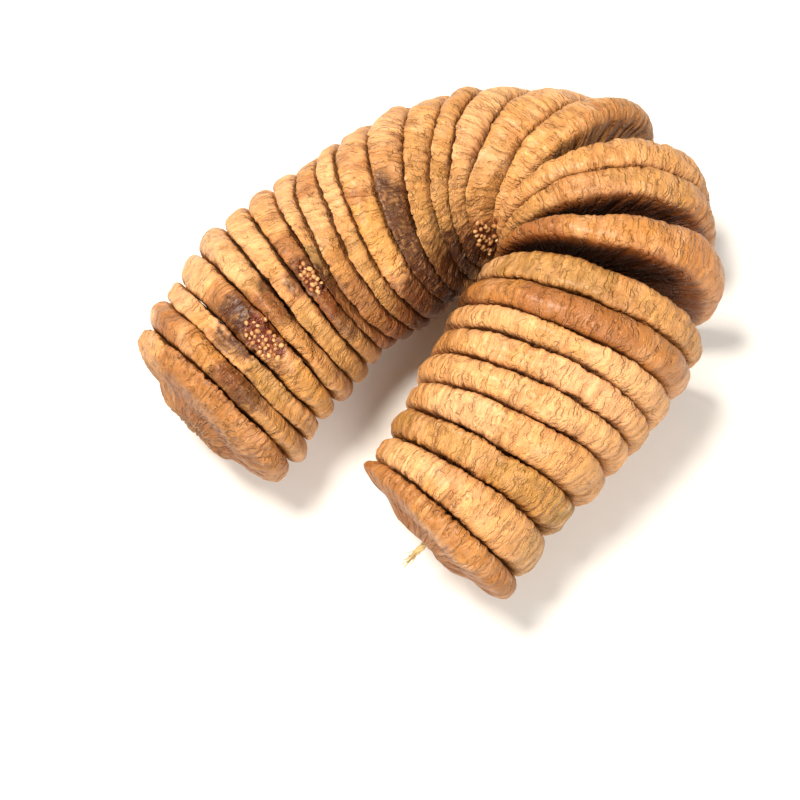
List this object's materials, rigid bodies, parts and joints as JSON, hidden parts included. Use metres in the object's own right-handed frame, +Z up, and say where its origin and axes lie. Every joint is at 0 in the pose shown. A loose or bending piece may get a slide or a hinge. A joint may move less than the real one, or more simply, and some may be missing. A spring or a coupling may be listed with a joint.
{
  "type": "string of dried figs",
  "caption": "Pressed dried figs threaded face to face on a fibre string and bent in a horseshoe that fans open in the bend; it lies flat on the rims of the figs.",
  "frame": {"origin": "under the middle of the strand's outer box, on the surface that it lies on", "axes": "+Z up; the horseshoe opens towards -Y, with the bend at +Y and +X; +X to the viewer's right"},
  "size_m": [0.1472, 0.1334, 0.0565],
  "materials": {
    "honey_skin": "wrinkled, waxy satin",
    "rust_skin": "wrinkled, waxy satin",
    "straw_skin": "wrinkled, waxy satin",
    "amber_skin": "wrinkled, waxy satin",
    "tan_skin": "wrinkled, waxy satin",
    "cream_skin": "wrinkled, waxy satin",
    "olive_skin": "wrinkled, waxy satin",
    "string_fibre": "twisted plant fibre, matt"
  },
  "bodies": {
    "root": {"fig_01": "honey_skin", "fig_02": "rust_skin", "fig_03": "straw_skin", "fig_04": "amber_skin", "fig_05": "tan_skin", "fig_06": "cream_skin", "fig_07": "straw_skin", "fig_08": "straw_skin", "fig_09": "straw_skin", "fig_10": "straw_skin", "fig_11": "tan_skin", "fig_12": "olive_skin", "fig_13": "honey_skin", "fig_14": "olive_skin", "fig_15": "cream_skin", "fig_16": "honey_skin", "fig_17": "amber_skin", "fig_18": "honey_skin", "fig_19": "rust_skin", "fig_20": "rust_skin", "fig_21": "olive_skin", "fig_22": "rust_skin", "fig_23": "straw_skin", "fig_24": "straw_skin", "fig_25": "straw_skin", "fig_26": "cream_skin", "fig_27": "olive_skin", "fig_28": "cream_skin", "fig_29": "tan_skin", "string": "string_fibre"}
  },
  "joints": []
}
